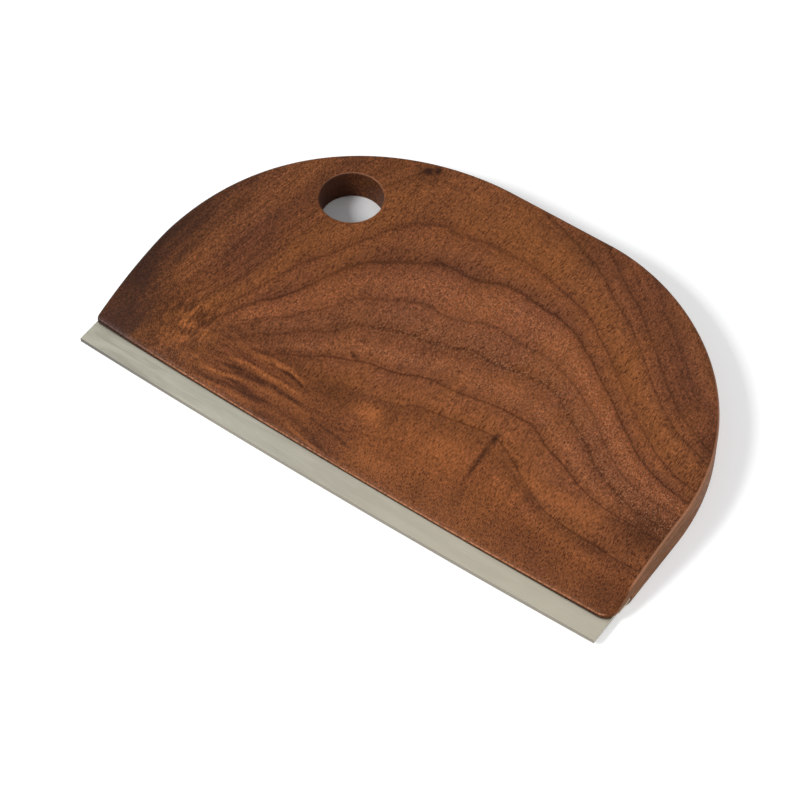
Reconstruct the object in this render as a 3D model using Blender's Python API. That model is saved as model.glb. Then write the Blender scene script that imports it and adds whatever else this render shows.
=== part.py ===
# Dough cutter: a walnut board with a steel strip bonded into a saw kerf along its front edge.
# The square-cut front of the strip is the cutting edge.
# Metres, +Z up. It lies on its flat underside, cutting edge towards -Y, strip along X.
# Origin: bottom centre of the whole object's box.

import math

import bmesh
import bpy
from mathutils import Vector
from mathutils.geometry import interpolate_bezier

# Steel strip
blade_length = 0.2032
blade_width = 0.0206          # at the middle
blade_thickness = 0.0016
blade_reach = 0.0087          # cutting edge to the nose of the board
front_bow = 0.0014            # cutting edge and nose both curve back this far at their ends

# Walnut board
board_depth = 0.1218          # nose at the middle to the back edge
board_thickness = 0.0127
board_overhang = 0.0006       # board past each end of the strip
lip_height = 0.0008           # wood above the kerf where the top face ends at the lip
kerf_floor = 0.0011           # wood under the kerf where the underside is flat
under_lip = 0.0005            # wood under the kerf at the lip
taper_length = 0.0434         # top face falls to the lip over this depth
under_taper_length = 0.012    # underside rises to the lip over this depth
edge_round_top = 0.0014
edge_round_bottom = 0.0004
front_left_radius = 0.0045
front_right_radius = 0.0050
corner_share = 0.8            # an edge round stays under this share of the front corners' radius
wall_tilt = 0.05              # upright part of a side wall's normal, at most
face_tilt = 0.5               # upright part of a top or underside facet's normal, at least

# Plan of the back: two rounded shoulders joined by a short straight edge
back_flat = 0.0391
left_shoulder_width = 0.0860
left_side_straight = 0.0352
right_side_straight = 0.0382
left_side_fullness = 0.70     # how far each shoulder curve keeps its starting direction
left_back_fullness = 0.457
right_side_fullness = 0.623
right_back_fullness = 0.453

# Hanging hole
hole_diameter = 0.0222
hole_from_left = 0.0423
hole_from_back = 0.0337
hole_edge_round = 0.0007

# Adhesive bead behind the strip, and the gap kept between neighbouring pieces
bond_depth = 0.0006
fit_gap = 0.0003

# Smoothness of the round stretches
shoulder_steps = 26
bow_steps = 14
corner_steps = 6
taper_steps = 9
under_taper_steps = 3
round_steps = 3
hole_steps = 48

# Places worked out from the sizes
overall_depth = blade_reach + board_depth
cutting_edge_y = -overall_depth / 2
lip_y = cutting_edge_y + blade_reach
back_y = overall_depth / 2
half_width = blade_length / 2 + board_overhang
strip_back_y = cutting_edge_y + blade_width
strip_bottom_z = kerf_floor + fit_gap
strip_top_z = strip_bottom_z + blade_thickness
kerf_top_z = strip_top_z + fit_gap
kerf_end_y = strip_back_y + fit_gap + bond_depth + fit_gap
lip_top_z = kerf_top_z + lip_height
hole_x = -half_width + hole_from_left
hole_y = back_y - hole_from_back


def clear_scene():
    for old in list(bpy.data.objects):
        bpy.data.objects.remove(old, do_unlink=True)


def make_material(name, colour, roughness, metallic):
    material = bpy.data.materials.new(name)
    material.use_nodes = True
    shader = material.node_tree.nodes["Principled BSDF"]
    shader.inputs["Base Color"].default_value = (*colour, 1.0)
    shader.inputs["Roughness"].default_value = roughness
    shader.inputs["Metallic"].default_value = metallic
    return material


def make_object(name, bm, material, place, parent):
    mesh = bpy.data.meshes.new(name)
    bmesh.ops.recalc_face_normals(bm, faces=bm.faces)
    bm.to_mesh(mesh)
    bm.free()
    mesh.shade_smooth()
    mesh.set_sharp_from_angle(angle=math.radians(35))
    if material:
        mesh.materials.append(material)
    obj = bpy.data.objects.new(name, mesh)
    obj.location = place
    obj.parent = parent
    bpy.context.scene.collection.objects.link(obj)
    return obj


def curve_points(start, start_pull, end_pull, end, steps):
    # Points of one cubic curve in plan, without its last point, which starts the next stretch.
    knots = [Vector((x, y, 0)) for x, y in (start, start_pull, end_pull, end)]
    return interpolate_bezier(*knots, steps + 1)[:-1]


def bowed(middle_y, x):
    # Depth of the nose or the cutting edge at x, given its depth at the middle.
    return middle_y + front_bow * (x / half_width) ** 2


def arc_drop(distance, length, rise):
    # Fall of a circular arc that starts level and has fallen by rise after length.
    radius = (length ** 2 + rise ** 2) / (2 * rise)
    return radius - math.sqrt(radius ** 2 - distance ** 2)


def corner_curve(side_x, radius):
    # Quarter round from the straight side onto the bowed lip.
    inward = -math.copysign(1, side_x)
    turn_x = side_x + inward * radius
    start = (side_x, bowed(lip_y, turn_x) + radius)
    pull = radius * 4 / 3 * math.tan(math.pi / 8)
    start_pull = (side_x, start[1] - pull)
    end_pull = (turn_x - inward * pull, bowed(lip_y, turn_x))
    return start, start_pull, end_pull, (turn_x, bowed(lip_y, turn_x))


def board_outline():
    # Anticlockwise, seen from above, starting where the left side meets the front lip's corner.
    left, right = -half_width, half_width
    side_foot_y = lip_y + front_bow
    left_turn_y = side_foot_y + left_side_straight
    right_turn_y = side_foot_y + right_side_straight
    flat_left_x = left + left_shoulder_width
    flat_right_x = flat_left_x + back_flat
    left_depth = back_y - left_turn_y
    right_depth = back_y - right_turn_y
    right_shoulder_width = right - flat_right_x

    left_corner = corner_curve(left, front_left_radius)
    right_corner = corner_curve(right, front_right_radius)
    points = curve_points(*left_corner, corner_steps)
    bow_from = left + front_left_radius
    bow_to = right - front_right_radius
    for step in range(bow_steps):
        x = bow_from + (bow_to - bow_from) * step / bow_steps
        points.append(Vector((x, bowed(lip_y, x), 0)))
    points += curve_points(*reversed(right_corner), corner_steps)
    points.append(Vector((*right_corner[0], 0)))
    points += curve_points(
        (right, right_turn_y),
        (right, right_turn_y + right_depth * right_side_fullness),
        (flat_right_x + right_shoulder_width * right_back_fullness, back_y),
        (flat_right_x, back_y),
        shoulder_steps,
    )
    points += curve_points(
        (flat_left_x, back_y),
        (flat_left_x - left_shoulder_width * left_back_fullness, back_y),
        (left, left_turn_y + left_depth * left_side_fullness),
        (left, left_turn_y),
        shoulder_steps,
    )
    points.append(Vector((left, left_turn_y, 0)))
    return points


def cut_levels(length, steps):
    # Depths of the cross cuts that facet a taper, from the lip to where the face is flat.
    return [lip_y + length * step / steps for step in range(1, steps + 1)]


def taper_height(y, level_y, length, rise):
    if y >= level_y:
        return 0.0
    return arc_drop(min(level_y - y, length), length, rise)


def faceted_height(y, cuts, length, rise):
    # Straight between cuts, so that every facet stays flat.
    level_y = cuts[-1]
    edges = [lip_y] + cuts
    for near, far in zip(edges, edges[1:]):
        if y < far:
            share = (y - near) / (far - near)
            low = taper_height(near, level_y, length, rise)
            high = taper_height(far, level_y, length, rise)
            return low + (high - low) * share
    return 0.0


def round_rim(bm, side, radius, steps):
    # side is 1 for the rim of the top face and -1 for the rim of the underside.
    rim = []
    for edge in bm.edges:
        tilts = sorted(side * face.normal.z for face in edge.link_faces)
        if len(tilts) == 2 and abs(tilts[0]) < wall_tilt and tilts[1] > face_tilt:
            rim.append(edge)
    bmesh.ops.bevel(bm, geom=rim, offset=radius, offset_type='OFFSET', segments=steps, profile=0.5,
                    affect='EDGES', clamp_overlap=False, loop_slide=True, material=-1)
    bm.normal_update()


def build_board(material, parent):
    bm = bmesh.new()
    corners = [bm.verts.new(point) for point in board_outline()]
    underside = bm.faces.new(corners)
    raised = bmesh.ops.extrude_face_region(bm, geom=[underside])["geom"]
    top = [item for item in raised if isinstance(item, bmesh.types.BMVert)]
    bmesh.ops.translate(bm, verts=top, vec=(0, 0, board_thickness))
    bmesh.ops.recalc_face_normals(bm, faces=bm.faces)

    top_cuts = cut_levels(taper_length, taper_steps)
    under_cuts = cut_levels(under_taper_length, under_taper_steps)
    for y in sorted(set(top_cuts + under_cuts)):
        everything = list(bm.verts) + list(bm.edges) + list(bm.faces)
        bmesh.ops.bisect_plane(bm, geom=everything, dist=1e-7, plane_co=(0, y, 0), plane_no=(0, 1, 0))
    for vert in bm.verts:
        if vert.co.z > board_thickness / 2:
            vert.co.z -= faceted_height(vert.co.y, top_cuts, taper_length, board_thickness - lip_top_z)
        else:
            vert.co.z += faceted_height(vert.co.y, under_cuts, under_taper_length, kerf_floor - under_lip)
    bm.normal_update()

    widest_round = corner_share * min(front_left_radius, front_right_radius)
    round_rim(bm, 1, min(edge_round_top, widest_round), round_steps)
    round_rim(bm, -1, min(edge_round_bottom, widest_round), round_steps)
    board = make_object("walnut_handle", bm, material, (0, 0, 0), parent)
    cut_with(board, build_hole_cutter(parent))
    cut_with(board, build_kerf_cutter(parent))
    return board


def build_hole_cutter(parent):
    # A turned spool: straight bore, flared at both ends by the rounded rims.
    radius = hole_diameter / 2
    quarter = [math.pi / 2 * step / round_steps for step in range(round_steps + 1)]
    profile = [(radius + hole_edge_round * (1 - math.cos(turn)), hole_edge_round * (1 - math.sin(turn)))
               for turn in reversed(quarter)]
    profile = [(0, -hole_edge_round), (profile[0][0], -hole_edge_round)] + profile
    mirrored = [(r, board_thickness - z) for r, z in reversed(profile)]
    bm = bmesh.new()
    verts = [bm.verts.new((r, 0, z)) for r, z in profile + mirrored]
    edges = [bm.edges.new(pair) for pair in zip(verts, verts[1:])]
    bmesh.ops.spin(bm, geom=verts + edges, axis=(0, 0, 1), cent=(0, 0, 0), steps=hole_steps,
                   angle=2 * math.pi, use_merge=True)
    bmesh.ops.remove_doubles(bm, verts=bm.verts, dist=1e-6)
    return hide_cutter(make_object("hole_cutter", bm, None, (hole_x, hole_y, 0), parent))


def build_kerf_cutter(parent):
    # It runs past both ends and the front of the board.
    past = blade_reach
    size = Vector((2 * (half_width + past), kerf_end_y - lip_y + past, kerf_top_z - kerf_floor))
    bm = bmesh.new()
    bmesh.ops.create_cube(bm, size=1.0)
    bmesh.ops.scale(bm, vec=size, verts=bm.verts)
    place = (0, kerf_end_y - size.y / 2, (kerf_floor + kerf_top_z) / 2)
    return hide_cutter(make_object("kerf_cutter", bm, None, place, parent))


def hide_cutter(cutter):
    cutter.hide_render = True
    cutter.display_type = 'WIRE'
    return cutter


def cut_with(obj, cutter):
    cut = obj.modifiers.new(cutter.name, 'BOOLEAN')
    cut.operation = 'DIFFERENCE'
    cut.solver = 'EXACT'
    cut.object = cutter


def build_blade(material, parent):
    end_x = blade_length / 2
    stations = [end_x * (2 * step / bow_steps - 1) for step in range(bow_steps + 1)]
    outline = [(x, bowed(cutting_edge_y, x), 0) for x in stations]
    outline += [(end_x, strip_back_y, 0), (-end_x, strip_back_y, 0)]
    bm = bmesh.new()
    underside = bm.faces.new([bm.verts.new(point) for point in outline])
    raised = bmesh.ops.extrude_face_region(bm, geom=[underside])["geom"]
    top = [item for item in raised if isinstance(item, bmesh.types.BMVert)]
    bmesh.ops.translate(bm, verts=top, vec=(0, 0, blade_thickness))
    return make_object("steel_blade", bm, material, (0, 0, strip_bottom_z), parent)


def build_bond(material, parent):
    bm = bmesh.new()
    bmesh.ops.create_cube(bm, size=1.0)
    bmesh.ops.scale(bm, vec=(blade_length, bond_depth, blade_thickness), verts=bm.verts)
    place = (0, strip_back_y + fit_gap + bond_depth / 2, (strip_bottom_z + strip_top_z) / 2)
    return make_object("epoxy_bond", bm, material, place, parent)


def main():
    clear_scene()
    walnut = make_material("walnut", (0.19, 0.072, 0.034), 0.55, 0.0)
    steel = make_material("steel", (0.43, 0.42, 0.37), 0.35, 1.0)
    epoxy = make_material("epoxy", (0.20, 0.13, 0.06), 0.4, 0.0)
    whole = bpy.data.objects.new("dough_cutter", None)
    bpy.context.scene.collection.objects.link(whole)
    build_board(walnut, whole)
    build_blade(steel, whole)
    build_bond(epoxy, whole)


main()
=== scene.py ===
import math

import bmesh
import bpy
from mathutils import Matrix, Vector
from mathutils.geometry import interpolate_bezier


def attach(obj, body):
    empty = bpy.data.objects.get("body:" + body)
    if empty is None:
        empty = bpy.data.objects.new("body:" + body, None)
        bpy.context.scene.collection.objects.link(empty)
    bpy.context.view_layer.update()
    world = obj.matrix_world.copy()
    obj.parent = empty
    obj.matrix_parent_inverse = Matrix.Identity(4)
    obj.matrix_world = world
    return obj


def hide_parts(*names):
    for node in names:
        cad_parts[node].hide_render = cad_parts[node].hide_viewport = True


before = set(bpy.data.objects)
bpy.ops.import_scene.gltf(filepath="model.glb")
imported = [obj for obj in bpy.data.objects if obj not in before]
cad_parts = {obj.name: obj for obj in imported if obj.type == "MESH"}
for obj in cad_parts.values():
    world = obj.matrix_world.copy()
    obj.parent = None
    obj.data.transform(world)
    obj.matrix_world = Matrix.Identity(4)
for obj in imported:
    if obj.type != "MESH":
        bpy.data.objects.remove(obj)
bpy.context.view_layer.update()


# Small helpers for shader nodes

def newMaterial(name):
    material = bpy.data.materials.new(name)
    material.use_nodes = True
    return material, material.node_tree, material.node_tree.nodes["Principled BSDF"]


def treeOf(*values):
    # The node tree of the first value that is a socket.
    return next(value.id_data for value in values if isinstance(value, bpy.types.NodeSocket))


def plug(socket, value):
    if isinstance(value, bpy.types.NodeSocket):
        treeOf(socket).links.new(value, socket)
    else:
        socket.default_value = value


def calc(operation, *values):
    node = treeOf(*values).nodes.new("ShaderNodeMath")
    node.operation = operation
    for socket, value in zip(node.inputs, values):
        plug(socket, value)
    return node.outputs[0]


def mm(metres):
    return metres * 1000


def times(first, second):
    return calc("MULTIPLY", first, second)


def millimetres(tree, stretch=(1, 1, 1), turn=0.0, shift=(0, 0, 0)):
    # Object coordinates in millimetres, stretched, turned about Z and moved.
    place = tree.nodes.new("ShaderNodeTexCoord")
    mapping = tree.nodes.new("ShaderNodeMapping")
    mapping.inputs["Location"].default_value = shift
    mapping.inputs["Rotation"].default_value = (0, 0, turn)
    mapping.inputs["Scale"].default_value = [mm(factor) for factor in stretch]
    plug(mapping.inputs["Vector"], place.outputs["Object"])
    return mapping.outputs[0]


def cloud(tree, where, scale=1.0, detail=2.0, roughness=0.5, twist=0.0):
    node = tree.nodes.new("ShaderNodeTexNoise")
    for name, value in (("Vector", where), ("Scale", scale), ("Detail", detail),
                        ("Roughness", roughness), ("Distortion", twist)):
        plug(node.inputs[name], value)
    return node.outputs[0]


def stretchedCloud(tree, stretch, turn=0.0, shift=(0, 0, 0), **options):
    return cloud(tree, millimetres(tree, stretch, turn, shift), **options)


def centred(cloudy):
    # A cloud lies round a half, and this takes it to either side of zero.
    return calc("SUBTRACT", cloudy, 0.5)


def cells(tree, stretch, shift):
    # Distance to the nearest of many scattered points.
    where = millimetres(tree, stretch, shift=shift)
    node = tree.nodes.new("ShaderNodeTexVoronoi")
    node.inputs["Scale"].default_value = 1.0
    plug(node.inputs["Vector"], where)
    return node.outputs["Distance"]


def between(value, low, high, fromValue=0.0, toValue=1.0, smooth=True):
    # Goes from fromValue, where value is low, to toValue, where value is high, and stays level past both.
    node = treeOf(value).nodes.new("ShaderNodeMapRange")
    node.interpolation_type = "SMOOTHSTEP" if smooth else "LINEAR"
    for socket, item in zip(node.inputs, (value, low, high, fromValue, toValue)):
        plug(socket, item)
    return node.outputs[0]


def mixed(share, under, over, mode="MIX"):
    node = treeOf(share, under, over).nodes.new("ShaderNodeMix")
    node.data_type = "RGBA"
    node.blend_type = mode
    # For colours the share is at 0, the two colours are at 6 and 7, and the result is at 2.
    for number, value in ((0, share), (6, under), (7, over)):
        plug(node.inputs[number], value)
    return node.outputs[2]


def ramp(value, stops):
    node = treeOf(value).nodes.new("ShaderNodeValToRGB")
    marks = node.color_ramp.elements
    for number, (position, colour) in enumerate(stops):
        mark = marks[number] if number < 2 else marks.new(position)
        mark.position = position
        mark.color = colour
    plug(node.inputs[0], value)
    return node.outputs[0]


def bend(value, points):
    # A curve through given points whose x and y lie between 0 and 1.
    node = treeOf(value).nodes.new("ShaderNodeFloatCurve")
    curve = node.mapping.curves[0]
    while len(curve.points) < len(points):
        curve.points.new(0.5, 0.5)
    for mark, point in zip(curve.points, points):
        mark.location = point
    node.mapping.update()
    plug(node.inputs["Value"], value)
    return node.outputs[0]


def splitOf(value, kind="XYZ"):
    node = treeOf(value).nodes.new("ShaderNodeSeparate" + kind)
    plug(node.inputs[0], value)
    return node.outputs


def shaded(colour, amount):
    # Lighter by a share where amount is over zero, darker where it is under.
    level = calc("ADD", amount, 1.0)
    grey = treeOf(level).nodes.new("ShaderNodeCombineColor")
    for socket in grey.inputs:
        plug(socket, level)
    return mixed(1.0, colour, grey.outputs[0], "MULTIPLY")


def blot(x, y, spot):
    # A soft oval patch that runs through the board.
    middleX, middleY, halfWidth, halfHeight, strength = spot
    across = calc("MULTIPLY_ADD", x, 1 / halfWidth, -middleX / halfWidth)
    up = calc("MULTIPLY_ADD", y, 1 / halfHeight, -middleY / halfHeight)
    reach = calc("SQRT", calc("MULTIPLY_ADD", up, up, times(across, across)))
    core = 0.15
    return between(reach, core, 1.0, strength, 0.0)


def stroke(x, y, course):
    # A thin curved mark that tapers off at both ends.
    fromX, toX, middleY, slope, arch, halfWidth, strength = course
    length, middleX = toX - fromX, (fromX + toX) / 2
    core, full = 0.1, 0.2
    along = calc("SUBTRACT", x, middleX)
    height = calc("MULTIPLY_ADD", calc("MULTIPLY_ADD", along, arch, slope), along, middleY)
    off = calc("ABSOLUTE", calc("SUBTRACT", y, height))
    end = between(calc("ABSOLUTE", along), length * full, length / 2, 1.0, 0.0)
    body = between(off, core * halfWidth, halfWidth, strength, 0.0)
    return times(body, end)


def strongest(masks):
    # The masks come from a generator, so that each is made and used up in turn.
    result = 0.0
    for mask in masks:
        result = calc("MAXIMUM", result, mask)
    return result


def shaken(where, scale, reach):
    # Coordinates pushed about by a noise, so that a drawn mark gets a natural edge.
    tree = treeOf(where)
    parts = splitOf(cloud(tree, where, scale, detail=3.0).node.outputs["Color"], "Color")
    joined = tree.nodes.new("ShaderNodeCombineXYZ")
    for part, socket in zip(parts, joined.inputs):
        plug(socket, part)
    push = tree.nodes.new("ShaderNodeVectorMath")
    push.operation = "MULTIPLY_ADD"
    for socket, value in zip(push.inputs, (joined.outputs[0], [2 * reach] * 3, [-reach] * 3)):
        plug(socket, value)
    total = tree.nodes.new("ShaderNodeVectorMath")
    for socket, value in zip(total.inputs, (where, push.outputs[0])):
        plug(socket, value)
    return total.outputs[0]


def srgb(red, green, blue, sheen=0.0):
    # A colour as it looks on screen, 0 to 255, as the shader's linear values, less a surface sheen.
    parts = [part / 255 for part in (red, green, blue)]
    parts = [part / 12.92 if part <= 0.04045 else ((part + 0.055) / 1.055) ** 2.4 for part in parts]
    darkest = 0.002
    return [max(part - sheen, darkest) for part in parts] + [1.0]


# Meshes. Two lengths too small to see, in metres, and two angles between faces.

tiny = 1e-6
hair = 1e-5
creaseAngle = math.radians(35)
easedAngle = math.radians(40)


def meshFrom(bm, name):
    mesh = bpy.data.meshes.new(name)
    bm.to_mesh(mesh)
    bm.free()
    return mesh


def placed(name, data):
    thing = bpy.data.objects.new(name, data)
    bpy.context.scene.collection.objects.link(thing)
    return thing


def shadeRound(mesh):
    mesh.shade_smooth()
    mesh.set_sharp_from_angle(angle=creaseAngle)


def shadeEvenly(piece):
    even = piece.modifiers.new("evenShading", "WEIGHTED_NORMAL")
    even.keep_sharp = True


def newPiece(name, bm, material, node):
    bmesh.ops.recalc_face_normals(bm, faces=bm.faces)
    mesh = meshFrom(bm, name)
    shadeRound(mesh)
    mesh.materials.append(material)
    piece = placed(name, mesh)
    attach(piece, "root")
    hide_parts(node)
    return piece


def easedBar(section, push, ease, segments):
    # A flat outline pushed out into a solid, with its sharp edges eased.
    bm = bmesh.new()
    end = bm.faces.new([bm.verts.new(point) for point in section])
    moved = bmesh.ops.extrude_face_region(bm, geom=[end])["geom"]
    far = [item for item in moved if isinstance(item, bmesh.types.BMVert)]
    bmesh.ops.translate(bm, verts=far, vec=push)
    bmesh.ops.recalc_face_normals(bm, faces=bm.faces)
    sharp = [edge for edge in bm.edges if edge.calc_face_angle(0) > easedAngle]
    bmesh.ops.bevel(bm, geom=sharp, offset=ease, offset_type="OFFSET", segments=segments, profile=0.5,
                    affect="EDGES", clamp_overlap=True, material=-1)
    return bm


def curvePoints(start, startPull, endPull, end, steps):
    knots = [Vector((x, y, 0)) for x, y in (start, startPull, endPull, end)]
    return interpolate_bezier(*knots, steps + 1)[:-1]


# Walnut board, in metres. Its nose is the front edge, a lip over the strip and a lip under it.

board = {
    "halfWidth": 0.1022, "thickness": 0.0127, "lipY": -0.05655, "backY": 0.06525,
    "bow": 0.0014, "lipTop": 0.0041, "lipUnder": 0.0006,
    "taper": 0.0434, "underTaper": 0.012, "roundTop": 0.0014, "roundUnder": 0.0004,
    "noseOut": 0.00042, "noseLean": 0.0015, "noseLeftFrom": 0.06, "noseLeftReach": 0.04,
    "noseLeftBack": 0.00035, "cornerLeft": 0.0018, "cornerRight": 0.005,
    "backFlat": 0.0391, "leftShoulder": 0.086, "leftStraight": 0.0352, "rightStraight": 0.0382,
    "fullness": (0.7, 0.457, 0.623, 0.453),
    "hole": (-0.0599, 0.03155), "holeRadius": 0.0111, "holeRound": 0.0007,
    "kerf": (0.0011, 0.0033), "kerfEndY": -0.04345, "sawLength": 0.25, "sawDepth": 0.02,
    "lowerLipEnd": 0.1012, "lowerLipFrom": -0.044, "lowerLipReach": 0.004,
    "steps": {"corner": 10, "nose": 60, "right": 80, "left": 90, "hole": 128, "rim": 6, "holeRim": 5,
              "taper": 40, "underTaper": 8},
}


def bowed(y, x):
    return y + board["bow"] * (x / board["halfWidth"]) ** 2


def noseLine(x):
    # Bowed like the strip, further out towards the right and held back at the left corner.
    left = max(-x - board["noseLeftFrom"], 0.0) / board["noseLeftReach"]
    straight = bowed(board["lipY"], x) - board["noseOut"] - board["noseLean"] * x
    return straight + board["noseLeftBack"] * left ** 2


def arcFall(y, length, rise):
    # Fall at y of a circular arc that is level at the far end of the taper.
    along = min(max(board["lipY"] + length - y, 0.0), length)
    radius = (length ** 2 + rise ** 2) / (2 * rise)
    return radius - math.sqrt(radius ** 2 - along ** 2)


def cornerCurve(sideX, radius):
    inward = -math.copysign(1, sideX)
    turnX = sideX + inward * radius
    nose = noseLine(turnX)
    # The pull that makes a quarter turn come out round.
    pull = radius * 4 / 3 * math.tan(math.pi / 8)
    return ((sideX, nose + radius), (sideX, nose + radius - pull),
            (turnX - inward * pull, nose), (turnX, nose))


def boardOutline():
    steps = board["steps"]
    right, back = board["halfWidth"], board["backY"]
    left = -right
    foot = board["lipY"] + board["bow"]
    leftTurn, rightTurn = foot + board["leftStraight"], foot + board["rightStraight"]
    flatLeft = left + board["leftShoulder"]
    flatRight = flatLeft + board["backFlat"]
    leftSide, leftBack, rightSide, rightBack = board["fullness"]
    rightCorner = cornerCurve(right, board["cornerRight"])
    points = curvePoints(*cornerCurve(left, board["cornerLeft"]), steps["corner"])
    noseFrom, noseTo = left + board["cornerLeft"], right - board["cornerRight"]
    for step in range(steps["nose"]):
        x = noseFrom + (noseTo - noseFrom) * step / steps["nose"]
        points.append(Vector((x, noseLine(x), 0)))
    points += curvePoints(*reversed(rightCorner), steps["corner"])
    points.append(Vector((*rightCorner[0], 0)))
    points += curvePoints((right, rightTurn), (right, rightTurn + (back - rightTurn) * rightSide),
                          (flatRight + (right - flatRight) * rightBack, back), (flatRight, back),
                          steps["right"])
    points += curvePoints((flatLeft, back), (flatLeft - (flatLeft - left) * leftBack, back),
                          (left, leftTurn + (back - leftTurn) * leftSide), (left, leftTurn),
                          steps["left"])
    points.append(Vector((left, leftTurn, 0)))
    return points


def holeOutline():
    middleX, middleY = board["hole"]
    radius, steps = board["holeRadius"], board["steps"]["hole"]
    return [Vector((middleX + radius * math.cos(turn), middleY + radius * math.sin(turn), 0))
            for turn in [-2 * math.pi * step / steps for step in range(steps)]]


def inwardNormals(points):
    normals = []
    for before, after in zip(points[-1:] + points[:-1], points[1:] + points[:1]):
        along = (after - before).normalized()
        normals.append(Vector((-along.y, along.x, 0)))
    return normals


def roundedWall(bm, points, topRound, underRound, steps):
    # Loops up a wall with a quarter round at both rims. Returns the lowest and the highest loop.
    quarter = [math.pi / 2 * step / steps for step in range(steps + 1)]
    profile = [(underRound * (1 - math.sin(turn)), underRound * (1 - math.cos(turn))) for turn in quarter]
    profile += [(topRound * (1 - math.cos(turn)), board["thickness"] - topRound * (1 - math.sin(turn)))
                for turn in quarter]
    normals = inwardNormals(points)
    loops = []
    for inset, height in profile:
        loops.append([bm.verts.new(point + normal * inset + Vector((0, 0, height)))
                      for point, normal in zip(points, normals)])
    for lower, upper in zip(loops, loops[1:]):
        for index in range(len(lower)):
            after = (index + 1) % len(lower)
            bm.faces.new((lower[index], lower[after], upper[after], upper[index]))
    return loops[0], loops[-1]


def loopEdges(bm, loop):
    return [bm.edges.get((first, second)) for first, second in zip(loop, loop[1:] + loop[:1])]


def thinTowardsNose(bm):
    # Both faces thin along arcs, and are cut fine enough to look smooth.
    steps, lipY = board["steps"], board["lipY"]
    cuts = [lipY + board["taper"] * step / steps["taper"] for step in range(1, steps["taper"] + 1)]
    cuts += [lipY + board["underTaper"] * step / steps["underTaper"] + hair
             for step in range(1, steps["underTaper"] + 1)]
    for y in sorted(cuts):
        everything = list(bm.verts) + list(bm.edges) + list(bm.faces)
        bmesh.ops.bisect_plane(bm, geom=everything, dist=tiny, plane_co=(0, y, 0), plane_no=(0, 1, 0))
    for vert in bm.verts:
        if vert.co.z > board["thickness"] / 2:
            vert.co.z -= arcFall(vert.co.y, board["taper"], board["thickness"] - board["lipTop"])
        else:
            vert.co.z += arcFall(vert.co.y, board["underTaper"], board["lipUnder"])
    # What lies in one plane is joined again, in the same order each run.
    nearlyLevel, sameAngle = 0.9, 1e-4
    level = {face for face in bm.faces if abs(face.normal.z) > nearlyLevel}
    verts = [vert for vert in bm.verts if not level.isdisjoint(vert.link_faces)]
    edges = [edge for edge in bm.edges if not level.isdisjoint(edge.link_faces)]
    bmesh.ops.dissolve_limit(bm, angle_limit=sameAngle, verts=verts, edges=edges)


def buildBoard(walnut):
    bm = bmesh.new()
    steps = board["steps"]
    outer = roundedWall(bm, boardOutline(), board["roundTop"], board["roundUnder"], steps["rim"])
    inner = roundedWall(bm, holeOutline(), board["holeRound"], board["holeRound"], steps["holeRim"])
    for outerLoop, innerLoop in zip(outer, inner):
        edges = loopEdges(bm, outerLoop) + loopEdges(bm, innerLoop)
        bmesh.ops.triangle_fill(bm, edges=edges, use_beauty=True)
    thinTowardsNose(bm)
    piece = newPiece("walnutBoard", bm, walnut, "walnut_handle")
    cutKerf(piece)
    trimLowerLip(piece)
    shadeEvenly(piece)


def cutKerf(piece):
    # A saw slot through the nose, for the strip.
    low, high = board["kerf"]
    bm = bmesh.new()
    bmesh.ops.create_cube(bm, size=1.0)
    bmesh.ops.scale(bm, vec=(board["sawLength"], board["sawDepth"], high - low), verts=bm.verts)
    middle = (0, board["kerfEndY"] - board["sawDepth"] / 2, (low + high) / 2)
    bmesh.ops.translate(bm, vec=middle, verts=bm.verts)
    mesh = meshFrom(bm, "kerf")
    saw = placed("kerf", mesh)
    cut = piece.modifiers.new("kerf", "BOOLEAN")
    cut.operation = "DIFFERENCE"
    cut.solver = "EXACT"
    cut.object = saw
    bpy.context.view_layer.update()
    result = bpy.data.meshes.new_from_object(piece.evaluated_get(bpy.context.evaluated_depsgraph_get()))
    piece.modifiers.remove(cut)
    plain = piece.data
    piece.data = result
    bpy.data.meshes.remove(plain)
    bpy.data.objects.remove(saw)
    bpy.data.meshes.remove(mesh)
    result.name = piece.name
    shadeRound(result)


def trimLowerLip(piece):
    # At the right the lip under the strip is drawn in to just short of the strip's end.
    end, start, reach = board["lowerLipEnd"], board["lowerLipFrom"], board["lowerLipReach"]
    bm = bmesh.new()
    bm.from_mesh(piece.data)
    for vert in bm.verts:
        x, y, z = vert.co
        if x > end and z < board["kerf"][0] + hair and y < start:
            share = min((start - y) / reach, 1.0)
            vert.co.x = x + (end - x) * share * share * (3 - 2 * share)
    bmesh.ops.dissolve_degenerate(bm, dist=tiny, edges=bm.edges)
    bm.to_mesh(piece.data)
    bm.free()


# Steel strip, in metres

strip = {
    "halfLength": 0.1016, "edgeY": -0.06525, "backY": -0.04465,
    "bottom": 0.0014, "top": 0.003, "ease": 0.00007, "easeSteps": 3, "steps": 60,
}


def buildStrip(steel):
    half, bottom, steps = strip["halfLength"], strip["bottom"], strip["steps"]
    stations = [half * (2 * step / steps - 1) for step in range(steps + 1)]
    outline = [(x, bowed(strip["edgeY"], x), bottom) for x in stations]
    outline += [(half, strip["backY"], bottom), (-half, strip["backY"], bottom)]
    bm = easedBar(outline, (0, 0, strip["top"] - bottom), strip["ease"], strip["easeSteps"])
    shadeEvenly(newPiece("steelStrip", bm, steel, "steel_blade"))


# Adhesive, in metres: a bead behind the strip and a thin film over and under it

glue = {
    "halfLength": 0.1019, "frontY": -0.05, "innerY": -0.0445, "backY": -0.0436,
    "film": (0.00303, 0.00326), "underFilm": (0.00114, 0.00137), "ease": 0.00005, "easeSteps": 2,
}


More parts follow.
